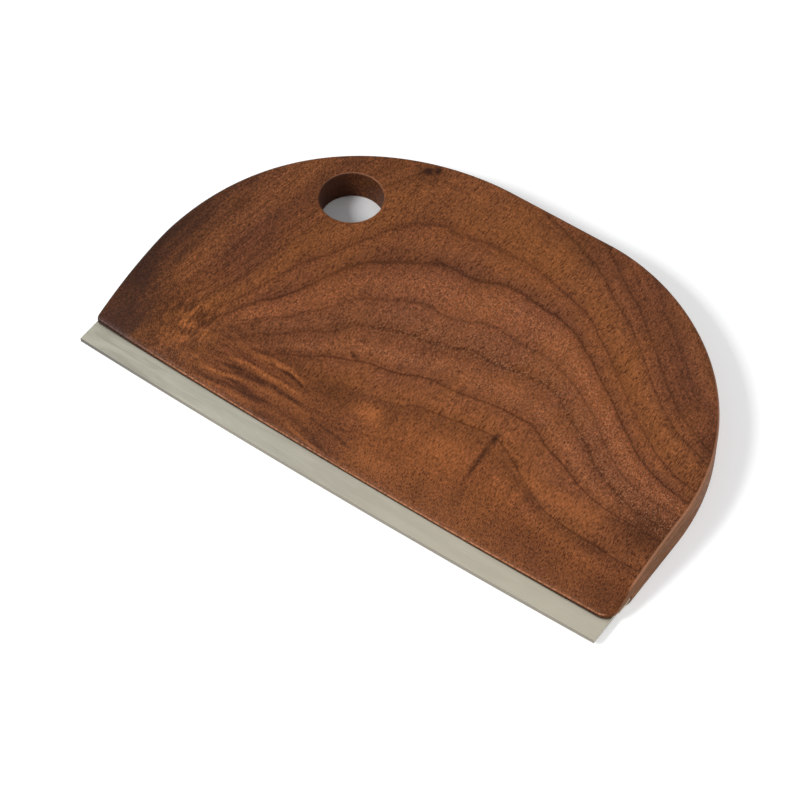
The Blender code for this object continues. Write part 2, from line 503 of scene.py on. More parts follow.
def buildGlue(epoxy):
    half = glue["halfLength"]
    filmLow, filmHigh = glue["film"]
    underLow, underHigh = glue["underFilm"]
    front, inner, back = glue["frontY"], glue["innerY"], glue["backY"]
    section = [(front, underLow), (back, underLow), (back, filmHigh), (front, filmHigh),
               (front, filmLow), (inner, filmLow), (inner, underHigh), (front, underHigh)]
    bm = easedBar([(-half, y, z) for y, z in section], (2 * half, 0, 0), glue["ease"], glue["easeSteps"])
    newPiece("epoxyBead", bm, epoxy, "epoxy_bond")


# Walnut, in millimetres

walnutLook = {
    # Growth rings. ring = level(x) + slope(x) * y/40 + crown(x) * (y/40)**2
    "x": (-105, -88, -72, -58, -46, -34, -20, 0, 20, 38, 54, 72, 88, 105),
    "level": (95.8, 74.1, 53.2, 36.8, 28.5, 22, 17.4, 14, 10.9, 11, 16.9, 27.5, 35.3, 40.1),
    "slope": (0.4, 4.5, 8.4, 11.7, 13.8, 15.9, 18.8, 21.4, 24.8, 29.1, 32.3, 37.1, 43, 49.9),
    "crown": (1.8, 1, 0.1, -0.7, -1.3, -1.6, -1.7, -1.4, -0.6, 0.4, 0.5, -0.5, -1.7, -2.8),
    "upUnit": 40, "ringRange": (-50, 110), "ringsPerDepth": 3.6,
    # How far each late wood line waves off that course, at waveX
    "waveX": (-105, -62, -56, -50, -44, -38, -32, -26, -20, -14, -8, -2, 4, 10, 16, 22, 28, 34, 40, 46,
              52, 58, 64, 70, 78, 86, 94, 105),
    "waves": (
        (-19, None),
        (-8.1, (0,) * 10 + (-1.8, -1.8, -1.8, 1.7, 1.1, 0.8, 1, 1.1, -0.4, -2.9, -4.9, -8.1, -10, -9.8,
                            -10, -10.3, -11.3, -14)),
        (2.5, (0,) * 7 + (-0.1, -0.1, 0.5, 0, 0.1, 0.8, -0.1, -1.2, -1.5, -1.5, -1.4, -0.7, 0.1,
                          -0.2, 0.1, 0.3, 0.1, 0.6, 2, 2.7, 0)),
        (12.3, (0, 0, 0, 0.4, 0.4, 0.4, -0.7, 0.8, 0.4, 0.2, 0.1, -0.5, -0.5, -0.2, -0.8, -1.1, -0.4, 0.2,
                1, 1.3, 0.8, 0.9, 0.8, 0.1, -0.7, -1.7, -2.2, 0)),
        (19.5, (0, 1.4, 1.4, 1.3, -0.3, -0.3, 0.5, 0, 0, 0.3, -0.3, -1, -0.5, 0.2, -0.4, -0.8, -0.5, 0.1,
                -0.2, 0.2, 0.5, 0.8, 0.3, 0, -0.8, -0.8, 0, 0)),
        (28, (0, 0.9, -0.2, -1.2, 0.2, 0.1, -0.7, -0.7, -0.1, 0, -0.5, -0.2, 0.7, 0.9, 0.4, 0.5, 1.2, 1.2,
              0.2, 0, -0.2, 0.2, 0.3, 0.3, -0.6, -0.7, -0.9, 0)),
        (34.6, (0, 0.6, 0.4, -0.4, 0.1, 0.3, 0.4, 0.4, -0.3, -0.1, 0.3, 0.3, 0.6, 0.3, 0.1, 0.3, 0.7, 1,
                0, -0.5, -0.6, -0.6, -0.8, -0.1, -0.4, -1, -1.2, 0)),
        (44.9, (0,) * 11 + (-0.9, -0.9, -0.9, -0.6, -0.3, 0.3, -0.1, -0.5, -0.1, 0.1, 0, 0, -0.1, 0,
                            0.6, 1.3, 0)),
        (59, (0,) * 17 + (0.2, 0.2, 0.3, -0.6, -0.1, 0.3, 0.4, -0.5, 0.7, -0.2, 0)),
        (71, None),
    ),
    # The wood's colour at each ring, as it looks on screen
    "tones": (
        (-50, (122, 73, 46)), (-28, (127, 75, 46)), (-21, (134, 80, 50)), (-15, (119, 71, 45)),
        (-9, (109, 66, 43)), (-7.5, (124, 75, 47)), (-4, (132, 80, 51)), (0, (125, 76, 50)),
        (3.5, (121, 73, 48)), (7, (135, 83, 55)), (10, (121, 73, 49)), (12, (112, 68, 46)),
        (13.4, (115, 70, 47)), (15.5, (124, 76, 52)), (18.4, (120, 73, 50)), (23, (137, 83, 55)),
        (25.5, (131, 79, 53)), (27.6, (114, 68, 46)), (29.5, (117, 71, 48)), (32, (130, 79, 51)),
        (34, (120, 72, 47)), (36, (126, 77, 48)), (40, (134, 82, 51)), (44, (121, 74, 48)),
        (47, (120, 73, 49)), (50, (107, 65, 44)), (55, (111, 67, 46)), (60, (105, 64, 45)),
        (68, (126, 78, 51)), (80, (114, 70, 48)), (110, (95, 60, 43)),
    ),
    # Late wood lines: ring, darkness, reach on the near side, reach on the far side
    "lines": ((-8.1, 0.9, 0.4, 0.35), (2.5, 0.8, 0.3, 0.35), (12.3, 0.9, 0.25, 0.7), (19.5, 0.9, 0.3, 0.35),
              (28, 1, 0.3, 0.9), (34.6, 1, 0.6, 0.3), (44.9, 0.8, 0.4, 0.4), (50.1, 0.75, 0.4, 0.4),
              (59, 0.8, 0.45, 0.45), (67.9, 0.7, 0.5, 0.5)),
    # How open the pores are, and how many pale flecks there are, from ring to ring
    "openness": ((-50, 0.8), (-12, 0.7), (-8.5, 0.5), (-7.5, 1), (-2, 0.8), (2, 0.5), (4, 0.7), (7, 0.35),
                 (11, 0.6), (12.5, 1), (15, 0.8), (18, 0.35), (20, 0.8), (22, 0.45), (26, 0.2), (27.9, 0.3),
                 (28.4, 1), (31, 0.9), (34, 0.35), (35, 0.9), (42, 0.8), (60, 0.7), (110, 0.7)),
    "flecks": ((-50, 0.1), (3, 0.2), (7, 0.7), (10, 0.4), (13, 1), (17, 0.7), (20, 0.5), (24, 1),
               (27, 0.3), (29, 0.4), (34, 0.15), (110, 0.2)),
    # Patches: middle x and y, half width, half height, strength
    "openAreas": ((-3, -37, 11, 7, 1), (24, -49, 18, 11, 1), (70, -45, 34, 14, 1)),
    "smudges": ((-45.2, 55.8, 3.4, 3.4, 1), (-42.6, 58.2, 2.2, 3.4, 1), (-44, 55, 9, 7, 0.4),
                (-43.6, 48, 1.6, 8, 0.35), (-19.2, -22.6, 2.8, 1.6, 0.8), (-19, 25.5, 6, 3, 0.3),
                (-8, 32, 0.7, 2.6, 0.6), (-26, 23, 0.7, 3, 0.6), (-22.7, 20, 0.6, 2, 0.6),
                (-34.7, 21.5, 0.8, 2.4, 0.5), (28, 12.3, 0.6, 2, 0.5), (12.7, -8.3, 0.6, 2, 0.5),
                (-28, -14, 0.6, 2.5, 0.5), (-34, 20, 3, 5, 0.1), (16, 59, 34, 12, 0.16),
                (-32, 1, 3.5, 4, 0.3), (-31, -15.5, 4, 5, 0.25), (37, -33, 1.7, 14, 0.75),
                (37.3, -24, 1.6, 3.6, 0.9), (38.5, -46, 2.4, 8, 0.28), (40, -36, 5, 14, 0.14),
                (5.2, -36, 1.9, 7, 0.3), (-17, -36, 2.4, 5, 0.25), (70, -49, 32, 10, 0.22),
                (94, -50, 16, 10, 0.25), (22, -52, 12, 6, 0.15), (-18, -38, 8, 5, 0.2),
                (-92, 17, 4, 6, 0.35), (-88, 6, 3.5, 9, 0.3), (95, -27, 18, 11, 0.6), (95, 13, 8, 9, 0.3),
                (-6, 29, 12, 4, 0.12), (18, 33, 14, 4, 0.15), (50, 22, 8, 4, 0.12)),
    "glows": ((26, -37, 11, 10, 0.22), (-3, -37.5, 8, 5, 0.6), (-74, -41, 7, 5, 0.22), (-75, -47, 6, 3, 0.3),
              (-72, -50, 6, 2.5, 0.28), (-37, -38.4, 8, 1.5, 0.35), (10, -51, 18, 5, 0.25),
              (66, -31, 22, 4.5, 0.3), (26, -4, 10, 5, 0.15)),
    "curlArea": (-44, -46, 40, 19, 1), "flameArea": (-73, -42, 20, 20, 1),
    # Curly figure: from x, to x, y at the middle, slope, arch, half width, strength
    "strokes": ((-64, -14, -45.5, 0.02, -0.0075, 1.2, 0.8), (-54, -34, -46.9, 0.17, -0.004, 1.5, 0.55),
                (-38, -22, -40.4, -0.17, -0.01, 1.1, 0.8), (-52, -22, -36.6, 0.03, -0.009, 1.5, 0.45),
                (-68, -33, -52.6, 0.06, -0.001, 0.9, 0.5), (-48, -30, -51.7, 0.1, 0, 1.2, 0.5),
                (-24, -4, -53.6, -0.25, -0.002, 1.3, 0.65), (-24, 4, -49.2, -0.08, -0.003, 0.9, 0.65),
                (-30, -6, -35, 0.08, -0.008, 1.6, 0.22), (-20, 10, -54.8, -0.05, 0, 1.3, 0.3),
                (40, 68, -34, -0.36, 0.004, 2.4, 0.26), (66, 106, -40.6, -0.03, 0, 2.6, 0.12)),
    "sparks": ((-62, -44, -50.2, 0.13, 0, 0.9, 0.6), (-32, -17, -47.2, -0.14, -0.006, 0.9, 0.65),
               (-50, -24, -38.9, -0.03, -0.008, 1, 0.6), (-60, -22, -43.4, 0.03, -0.006, 1, 0.55),
               (-26, -6, -55.2, -0.12, 0, 0.8, 0.4), (-62, -36, -54.2, 0.04, 0, 0.8, 0.3)),
    # Other colours, as they look on screen
    # The second tone below paints a shade line under the nose.
    "line": (54, 31, 22), "noseShadeLine": (34, 20, 15), "smudge": (52, 32, 24), "glow": (172, 104, 60),
    "charcoal": (50, 35, 30), "golden": (150, 92, 44), "fleck": (204, 150, 114),
    # The first two tones below are painted rim highlights.
    "rimHighlight": (194, 140, 108), "rimHighlightLeft": (118, 102, 102), "lowerLip": (176, 158, 134),
    # Wall tones, pale partly as painted light.
    "wallLight": (152, 100, 58), "wallDark": (98, 62, 36),
    # Bore tones: dark end grain, partly painted shade, and pale specks for the lit side.
    "boreDark": (44, 24, 15), "boreLight": (104, 62, 38),
    "curlTones": ((0.34, (138, 83, 50)), (0.5, (112, 66, 42)), (0.64, (74, 43, 30))),
    # How far noise pushes the drawn marks, as scale and reach, and the rings, strokes and charcoal
    "looseShake": (0.25, 1.3), "gentleShake": (0.1, 1), "jagReach": 0.7, "strokeJag": 0.4,
    "charcoalReach": 19,
    # Radii round the middle of the hanging hole: of the painted rim highlight and of the bore
    "holeGlow": 15, "boreReach": 11.4,
    # How much of a layer's colour shows
    "lineShare": 0.95, "curlShare": 0.75, "poreShare": 0.85, "fleckShare": 0.55, "boreShare": 0.96,
    # Noises. The streaks run in ring and x.
    "streaks": {"detail": 3, "roughness": 0.6}, "streakStretch": (0.8, 0.02),
    "jag": {"stretch": (1.4, 0.12, 1.4)},
    "band": {"stretch": (0.45, 0.05, 0.45)},
    "grain": {"stretch": (2.9, 1, 2.9), "roughness": 0.75},
    "broken": {"stretch": (0.12, 0.12, 0.12)},
    "curl": {"stretch": (0.06, 0.4, 0.4), "turn": 0.1, "detail": 3, "roughness": 0.55, "twist": 0.4},
    "drift": {"stretch": (0.06, 0.03, 0.06)},
    "flame": {"stretch": (0.55, 0.16, 0.55), "turn": -0.2, "detail": 3, "roughness": 0.6},
    "streaky": {"stretch": (0.35, 0.03, 0.35), "detail": 3},
    "poreCells": {"stretch": (1.9, 0.3, 1.9), "shift": (9, 0, 0)},
    "fleckCells": {"stretch": (1.8, 1.2, 1.8), "shift": (40, 0, 0)},
    "fibres": {"stretch": (1.6, 0.05, 1.6), "shift": (3, 5, 7), "roughness": 0.6},
    "dots": {"stretch": (1.3, 0.2, 0.2)},
    "specks": {"stretch": (1.2, 1.2, 1.2), "detail": 3, "roughness": 0.7},
    "grit": {"stretch": (1.5, 0.5, 1.5)},
    # The surface: how deep the relief is in metres, and what pores and grit give to it
    "sheen": 0.007, "specular": 0.1, "reliefStrength": 0.35, "reliefDepth": 0.00012,
    "poreRelief": -0.7, "gritRelief": 0.3, "poreRoughness": 0.85,
    # The camera's up direction along x and y, for the painted rim highlight on the side turned away from it
    "upInView": (-0.4644, 0.6502),
    # Where each mask starts and ends, and its values there where they aren't 0 and 1
    "fades": {
        "streaks": (0.32, 0.68, 1, -1), "streaksOnRing": (30, 52, 0.05, 0.17),
        "streaksOnX": (-75, -45, 1.5, 1),
        "leftShade": (-75, 40, -0.19, 0.02), "frontShade": (-48, -18, -0.15, 0),
        "frontLeftFrom": (-94, -82), "frontLeftTo": (-16, 4, -0.32, 0), "frontLeftOnY": (-42, -24, 1, 0),
        "band": (0.3, 0.7, 0.13, -0.13), "grain": (0.32, 0.68, 1, -1),
        "grainOnOpened": (0.3, 1, 0.62, 0.3), "grainOnX": (-60, -5, 0.5, 0.33),
        "broken": (0.3, 0.6, 0.8, 1), "firstLineOnX": (-10, 14), "firstLineOnRing": (-5, -2),
        "drift": (0.35, 0.7, 0, 0.16), "fretted": (0.35, 0.6, 0.5, 1),
        "flameDark": (0.5, 0.62, 0, 0.55), "flameLight": (0.36, 0.48, 0.4, 0),
        "charcoalShift": (-48, -26, 6, 0), "charcoalOnX": (-85, -100, 0, 0.9),
        "charcoalOnY": (-18, 12, 1, 0.6), "charcoalInFront": (-50, -34, 0.8, 1),
        "rightShade": (84, 101, 0, 0.22),
        "poreDots": (0.24, 0.36, 1, 0), "fleckDots": (0.16, 0.36, 1, 0), "flecksOnX": (-45, -5, 0.3, 1),
        # The walls' fibres, and their painted paleness.
        "fibres": (0.35, 0.65), "wall": (0.6, 1.5, 0, 0.65), "wallOnX": (-95, -60),
        # Masks of the painted rim highlights.
        "crestFrom": (0.1, 0.4), "crestTo": (0.6, 1.4, 1, 0), "crestTone": (-92, -60),
        "aroundHole": (0, 0.1, 0, 0.5), "farFromCamera": (46, 52),
        "crestOnX": (20, 80, 0, 0.6), "crestOnY": (20, 50, 1, 0.3), "crestBehindNose": (-47, -42),
        "dots": (0.4, 0.6, 0.2, 0.62), "noseOnLevel": (-55.7, -56),
        "noseFrom": (0.2, 0.4), "noseTo": (0.5, 0.66),
        # The painted shade line under the nose.
        "gapStrength": (40, 85, 0.45, 0.75), "gapOnLevel": (-54, -55), "gapUnderTop": (0.62, 0.76),
        "gapOnHeight": (2.8, 3), "gapAtEnd": (96, 100.5, 1, 0.35),
        "lowerLipOnX": (97, 99), "lowerLipOnY": (-46, -43, 0.85, 0),
        "lowerLipFrom": (0.1, 0.4), "lowerLipTo": (1.15, 1.3, 1, 0),
        "inBore": (0, 0.004), "specks": (0.48, 0.62), "specksOnSide": (-30, -20, 0.15, 1),
        "roughness": (0.3, 0.7, 0.44, 0.6),
    },
}


def wood(name):
    # A named colour, or a colour itself.
    tone = walnutLook[name] if isinstance(name, str) else name
    return srgb(*tone, sheen=walnutLook["sheen"])


def faded(value, name, **options):
    return between(value, *walnutLook["fades"][name], **options)


def noise(tree, name):
    return stretchedCloud(tree, **walnutLook[name])


def ringRamp(ring, stops):
    # A ramp whose stops stand at ring values.
    low, high = walnutLook["ringRange"]
    place = between(ring, low, high, smooth=False)
    return ramp(place, [((at - low) / (high - low), colour) for at, colour in stops])


def alongRing(ring, stops):
    # Plain strengths at ring values.
    return ringRamp(ring, [(at, (value,) * 4) for at, value in stops]).node.outputs["Alpha"]


def ringField(x, y, z):
    # The growth ring at each point.
    look = walnutLook
    lowX, highX = look["x"][0], look["x"][-1]
    across = between(x, lowX, highX, smooth=False)

    def drawn(places, heights):
        low, high = min(heights), max(heights)
        points = [((at - lowX) / (highX - lowX), (value - low) / (high - low))
                  for at, value in zip(places, heights)]
        return calc("MULTIPLY_ADD", bend(across, points), high - low, low)

    level, slope, crown = (drawn(look["x"], look[name]) for name in ("level", "slope", "crown"))
    up = calc("DIVIDE", y, look["upUnit"])
    smooth = calc("MULTIPLY_ADD", calc("MULTIPLY_ADD", crown, up, slope), up, level)
    ring = smooth
    for before, (at, heights), after in zip(look["waves"], look["waves"][1:], look["waves"][2:]):
        rising = between(smooth, before[0], at, smooth=False)
        falling = between(smooth, at, after[0], 1.0, 0.0, smooth=False)
        near = calc("MINIMUM", rising, falling)
        wave = times(near, drawn(look["waveX"], heights))
        ring = calc("SUBTRACT", ring, wave)
    depth = calc("SUBTRACT", z, mm(board["thickness"]))
    return calc("MULTIPLY_ADD", depth, look["ringsPerDepth"], ring)


def unbowed(x, y):
    # How far forward a point is, with the bow of the nose and of the strip taken out.
    curve = calc("DIVIDE", x, mm(board["halfWidth"]))
    return calc("SUBTRACT", y, times(times(curve, curve), mm(board["bow"])))


def roundHole(x, y, reach):
    middleX, middleY = board["hole"]
    return blot(x, y, (mm(middleX), mm(middleY), reach, reach, 1.0))


def depthUnderTop(y, z):
    # The top falls along an arc towards the nose.
    taper, thickness = mm(board["taper"]), mm(board["thickness"])
    rise = mm(board["thickness"] - board["lipTop"])
    radius = (taper ** 2 + rise ** 2) / (2 * rise)
    along = calc("SUBTRACT", mm(board["lipY"] + board["taper"]), y)
    along = calc("MINIMUM", calc("MAXIMUM", along, 0.0), taper)
    chord = calc("SQRT", calc("SUBTRACT", radius ** 2, times(along, along)))
    return calc("SUBTRACT", calc("SUBTRACT", chord, radius - thickness), z)


def boardPlaces(tree):
    # Where a point lies on the board, plain and shaken, and its growth ring, jagged along the fibres.
    # The order in which this and the layers make their nodes matters: the shader is near its limit.
    look = walnutLook
    plain = millimetres(tree)
    x, y, z = splitOf(plain)
    loose = splitOf(shaken(plain, *look["looseShake"]))[:2]
    gentle = splitOf(shaken(plain, *look["gentleShake"]))[:2]
    jag = times(centred(noise(tree, "jag")), look["jagReach"])
    jaggedY = calc("ADD", y, jag)
    strokeY = calc("MULTIPLY_ADD", jag, look["strokeJag"], gentle[1])
    return {"x": x, "y": y, "z": z, "loose": loose, "gentle": gentle, "stroke": (gentle[0], strokeY),
            "ring": ringField(x, jaggedY, z)}


def addStreaks(tree, at, colour):
    # Fine streaks follow the rings, stronger outside the arches.
    onRing, onX = walnutLook["streakStretch"]
    rib = tree.nodes.new("ShaderNodeCombineXYZ")
    plug(rib.inputs[0], times(at["ring"], onRing))
    plug(rib.inputs[1], times(at["x"], onX))
    streaks = faded(cloud(tree, rib.outputs[0], **walnutLook["streaks"]), "streaks")
    strength = times(faded(at["ring"], "streaksOnRing"), faded(at["x"], "streaksOnX"))
    return shaded(colour, times(streaks, strength))


def addShades(at, colour):
    # It is darker at the left, at the front and most at the front left.
    colour = shaded(colour, faded(at["x"], "leftShade"))
    colour = shaded(colour, faded(at["y"], "frontShade"))
    frontLeft = times(faded(at["x"], "frontLeftFrom"), faded(at["x"], "frontLeftTo"))
    return shaded(colour, times(frontLeft, faded(at["y"], "frontLeftOnY")))


def addGrain(tree, at, colour):
    # Grain comes under the lines and the figure, so that they stay clear.
    band = noise(tree, "band")
    colour = shaded(colour, faded(band, "band", smooth=False))
    opened = strongest(blot(*at["loose"], spot) for spot in walnutLook["openAreas"])
    opened = calc("MAXIMUM", opened, alongRing(at["ring"], walnutLook["openness"]))
    grain = faded(noise(tree, "grain"), "grain", smooth=False)
    colour = shaded(colour, times(grain, faded(opened, "grainOnOpened")))
    return colour, band, opened, grain


def addLateWood(tree, at, colour):
    # The late wood lines are a little broken, and the first fades out towards the left.
    marks = [(walnutLook["ringRange"][0], 0.0)]
    for ring, dark, near, far in walnutLook["lines"]:
        marks += [(ring - near, 0.0), (ring, dark), (ring + far, 0.0)]
    broken = faded(noise(tree, "broken"), "broken")
    late = times(alongRing(at["ring"], marks), broken)
    clear = calc("MAXIMUM", faded(at["x"], "firstLineOnX"), faded(at["ring"], "firstLineOnRing"))
    late = times(times(late, clear), walnutLook["lineShare"])
    return mixed(late, colour, wood("line"))


def addCurls(tree, at, colour):
    # The rings fade into curly figure near the front left, and all drifts between red and golden.
    area = blot(*at["gentle"], walnutLook["curlArea"])
    tones = [(place, wood(tone)) for place, tone in walnutLook["curlTones"]]
    curl = ramp(noise(tree, "curl"), tones)
    colour = mixed(times(area, walnutLook["curlShare"]), colour, curl)
    return mixed(faded(noise(tree, "drift"), "drift"), colour, wood("golden"))


def addLocalMarks(at, band, colour):
    # The knot, the crack and the curls are drawn one by one.
    fretted = faded(band, "fretted")
    for tone, spots, courses in (("glow", "glows", "sparks"), ("smudge", "smudges", "strokes")):
        patches = strongest(blot(*at["loose"], spot) for spot in walnutLook[spots])
        curls = strongest(stroke(*at["stroke"], course) for course in walnutLook[courses])
        curls = times(curls, fretted)
        colour = mixed(calc("MAXIMUM", patches, curls), colour, wood(tone))
    return colour


def addFlame(tree, at, colour):
    # Flame figure near the front left.
    flame = noise(tree, "flame")
    area = blot(*at["loose"], walnutLook["flameArea"])
    colour = mixed(times(faded(flame, "flameDark"), area), colour, wood("smudge"))
    return mixed(times(faded(flame, "flameLight"), area), colour, wood("glow"))


def addCharcoal(tree, at, colour):
    # Charcoal heartwood along the left side, and a slighter shade along the right side.
    edge = calc("MULTIPLY_ADD", centred(noise(tree, "streaky")), walnutLook["charcoalReach"], at["x"])
    edge = calc("SUBTRACT", edge, faded(at["y"], "charcoalShift"))
    charcoal = times(faded(edge, "charcoalOnX"), faded(at["y"], "charcoalOnY"))
    charcoal = times(charcoal, faded(at["y"], "charcoalInFront"))
    colour = mixed(charcoal, colour, wood("charcoal"))
    return mixed(faded(at["x"], "rightShade"), colour, wood("smudge"))


def addPores(tree, at, opened, grain, colour):
    # Pores and flecks are short dashes along the fibres.
    look = walnutLook
    colour = shaded(colour, times(grain, faded(at["x"], "grainOnX")))
    poreDots = faded(cells(tree, **look["poreCells"]), "poreDots")
    pores = times(poreDots, opened)
    colour = mixed(times(pores, look["poreShare"]), colour, wood("line"))
    fleckDots = faded(cells(tree, **look["fleckCells"]), "fleckDots")
    flecks = times(fleckDots, alongRing(at["ring"], look["flecks"]))
    flecks = times(flecks, faded(at["x"], "flecksOnX"))
    colour = mixed(times(flecks, look["fleckShare"]), colour, wood("fleck"))
    return colour, poreDots, pores


def addWallFibresAndLight(tree, at, under, colour):
    # The side walls away from the left are painted paler, as light from the floor and the white
    # surroundings, and show their fibres end to end.
    fibres = faded(noise(tree, "fibres"), "fibres")
    tone = mixed(fibres, wood("wallLight"), wood("wallDark"))
    wall = times(faded(under, "wall"), faded(at["x"], "wallOnX"))
    return mixed(wall, colour, tone)


def addRimHighlight(tree, at, under, colour):
    # Rounded rims get a painted highlight: round the hole, on the right side and on the nose.
    x, y = at["x"], at["y"]
    alongX, alongY = walnutLook["upInView"]
    rimHighlight = times(faded(under, "crestFrom"), faded(under, "crestTo"))
    upper = calc("MULTIPLY_ADD", x, alongX, times(y, alongY))
    aroundHole = roundHole(x, y, walnutLook["holeGlow"])
    aroundHole = times(faded(aroundHole, "aroundHole"), faded(upper, "farFromCamera"))
    onWall = times(faded(x, "crestOnX"), faded(y, "crestOnY"))
    onWall = times(onWall, faded(y, "crestBehindNose"))
    level = unbowed(x, y)
    dotted = faded(noise(tree, "dots"), "dots")
    nose = times(faded(level, "noseOnLevel"), faded(under, "noseTo", fromValue=dotted, toValue=0.0))
    rimHighlight = times(rimHighlight, strongest([aroundHole, onWall]))
    rimHighlight = calc("MAXIMUM", rimHighlight, times(nose, faded(under, "noseFrom")))
    tone = mixed(faded(x, "crestTone"), wood("rimHighlightLeft"), wood("rimHighlight"))
    return mixed(rimHighlight, colour, tone), level


def addNoseShadeAndLowerLip(at, under, level, colour):
    # A painted shade line on the lower part of the upper lip's round, where it meets the strip, and a pale
    # end of the lower lip.
    x, y, z = at["x"], at["y"], at["z"]
    strength = faded(x, "gapStrength")
    noseShadeLine = times(faded(level, "gapOnLevel"), faded(under, "gapUnderTop", toValue=strength))
    noseShadeLine = times(noseShadeLine, faded(z, "gapOnHeight"))
    noseShadeLine = times(noseShadeLine, faded(x, "gapAtEnd"))
    colour = mixed(noseShadeLine, colour, wood("noseShadeLine"))
    lowerLip = times(faded(x, "lowerLipOnX"), faded(y, "lowerLipOnY"))
    lowerLip = times(lowerLip, faded(z, "lowerLipFrom"))
    lowerLip = times(lowerLip, faded(z, "lowerLipTo"))
    return mixed(lowerLip, colour, wood("lowerLip"))


def addBore(tree, at, colour):
    # The inside of the hole is rough end grain, painted dark, partly as its own colour and partly as shade;
    # its pale specks show only on the side the key light reaches.
    x, y = at["x"], at["y"]
    inBore = faded(roundHole(x, y, walnutLook["boreReach"]), "inBore")
    specks = faded(noise(tree, "specks"), "specks")
    specks = times(specks, faded(calc("ADD", x, y), "specksOnSide"))
    tone = mixed(specks, wood("boreDark"), wood("boreLight"))
    return mixed(times(inBore, walnutLook["boreShare"]), colour, tone)


def finishWood(tree, shader, poreDots, pores):
    look = walnutLook
    grit = noise(tree, "grit")
    rough = calc("MAXIMUM", faded(grit, "roughness"), times(pores, look["poreRoughness"]))
    plug(shader.inputs["Roughness"], rough)
    shader.inputs["Specular IOR Level"].default_value = look["specular"]
    relief = tree.nodes.new("ShaderNodeBump")
    relief.inputs["Strength"].default_value = look["reliefStrength"]
    relief.inputs["Distance"].default_value = look["reliefDepth"]
    height = calc("MULTIPLY_ADD", poreDots, look["poreRelief"], times(grit, look["gritRelief"]))
    plug(relief.inputs["Height"], height)
    plug(shader.inputs["Normal"], relief.outputs[0])


def makeWalnut():
    material, tree, shader = newMaterial("oiledWalnut")
    at = boardPlaces(tree)
    colour = ringRamp(at["ring"], [(ring, wood(tone)) for ring, tone in walnutLook["tones"]])
    colour = addStreaks(tree, at, colour)
    colour = addShades(at, colour)
    colour, band, opened, grain = addGrain(tree, at, colour)
    colour = addLateWood(tree, at, colour)
    colour = addCurls(tree, at, colour)
    colour = addLocalMarks(at, band, colour)
    colour = addFlame(tree, at, colour)
    colour = addCharcoal(tree, at, colour)
    colour, poreDots, pores = addPores(tree, at, opened, grain, colour)
    under = depthUnderTop(at["y"], at["z"])
    colour = addWallFibresAndLight(tree, at, under, colour)
    colour, level = addRimHighlight(tree, at, under, colour)
    colour = addNoseShadeAndLowerLip(at, under, level, colour)
    colour = addBore(tree, at, colour)
    plug(shader.inputs["Base Color"], colour)
    finishWood(tree, shader, poreDots, pores)
    return material


# Steel, in millimetres

steelLook = {
    # The stain tone marks real stains and also paints the shade beside the wood.
    "dull": (166, 164, 151), "bright": (184, 180, 165), "warm": (188, 179, 161), "stainAndShade": (124, 114, 92),
    # Tones of the cutting edge's face, a painted darker reflection.
    "edge": (124, 120, 115), "edgeRight": (160, 154, 144), "edgeRoughness": 0.9,
    "brushing": {"stretch": (0.03, 6.0, 6.0), "detail": 3.0}, "brushingTones": (0.3, 0.7),
    "handling": {"stretch": (0.05, 0.25, 0.25), "detail": 3.0, "roughness": 0.6, "twist": 0.5},
    "handlingShade": (0.3, 0.7, 0.1, -0.1), "warmOnX": (-60, 60, 0, 0.55),
    "stainFrom": (0.5, 0.6, 0, 0.18), "stainOnX": (-100, -55, 1, 0.1),
    "shadeBesideWood": (-57.6, -56.7, 0, 0.15), "cuttingEdge": (-65.2, -65.1, 1, 0),
    "edgeOnX": (-98, -45), "roughness": (0.3, 0.7, 0.3, 0.42),
}


def makeSteel():
    look = steelLook
    material, tree, shader = newMaterial("brushedSteel")
    x, y = splitOf(millimetres(tree))[:2]
    brushing = stretchedCloud(tree, **look["brushing"])
    handling = stretchedCloud(tree, **look["handling"])
    tones = zip(look["brushingTones"], (srgb(*look["dull"]), srgb(*look["bright"])))
    colour = ramp(brushing, tones)
    colour = shaded(colour, between(handling, *look["handlingShade"], smooth=False))
    colour = mixed(between(x, *look["warmOnX"]), colour, srgb(*look["warm"]))
    stains = times(between(handling, *look["stainFrom"]), between(x, *look["stainOnX"]))
    colour = mixed(stains, colour, srgb(*look["stainAndShade"]))

    # The steel is painted darker against the wood, as shade under the lip, and on the cutting edge.
    level = unbowed(x, y)
    colour = mixed(between(level, *look["shadeBesideWood"]), colour, srgb(*look["stainAndShade"]))
    # The cutting edge's face is painted as a darker reflection, darkest at the left.
    front = between(level, *look["cuttingEdge"])
    edgeOnX = between(x, *look["edgeOnX"], smooth=False)
    edgeReflectionTone = mixed(edgeOnX, srgb(*look["edge"]), srgb(*look["edgeRight"]))
    colour = mixed(front, colour, edgeReflectionTone)
    plug(shader.inputs["Base Color"], colour)
    rough = calc("MAXIMUM", between(brushing, *look["roughness"]), times(front, look["edgeRoughness"]))
    plug(shader.inputs["Roughness"], rough)
    shader.inputs["Metallic"].default_value = 1.0
    return material


# Adhesive, in millimetres

epoxyLook = {
    "dark": (96, 66, 38), "light": (132, 96, 58), "pale": (214, 198, 176),
    "mottle": {"stretch": (0.5, 2.0, 2.0), "detail": 3.0}, "mottleTones": (0.3, 0.7),
    "paleOnX": (99, 101), "roughness": (0.3, 0.7, 0.3, 0.5),
}


def makeEpoxy():
    # Amber, but pale where it is squeezed out at the right end.
    look = epoxyLook
    material, tree, shader = newMaterial("curedEpoxy")
    mottle = stretchedCloud(tree, **look["mottle"])
    x = splitOf(millimetres(tree))[0]
    amber = ramp(mottle, zip(look["mottleTones"], (srgb(*look["dark"]), srgb(*look["light"]))))
    colour = mixed(between(x, *look["paleOnX"]), amber, srgb(*look["pale"]))
    plug(shader.inputs["Base Color"], colour)
    plug(shader.inputs["Roughness"], between(mottle, *look["roughness"]))
    return material


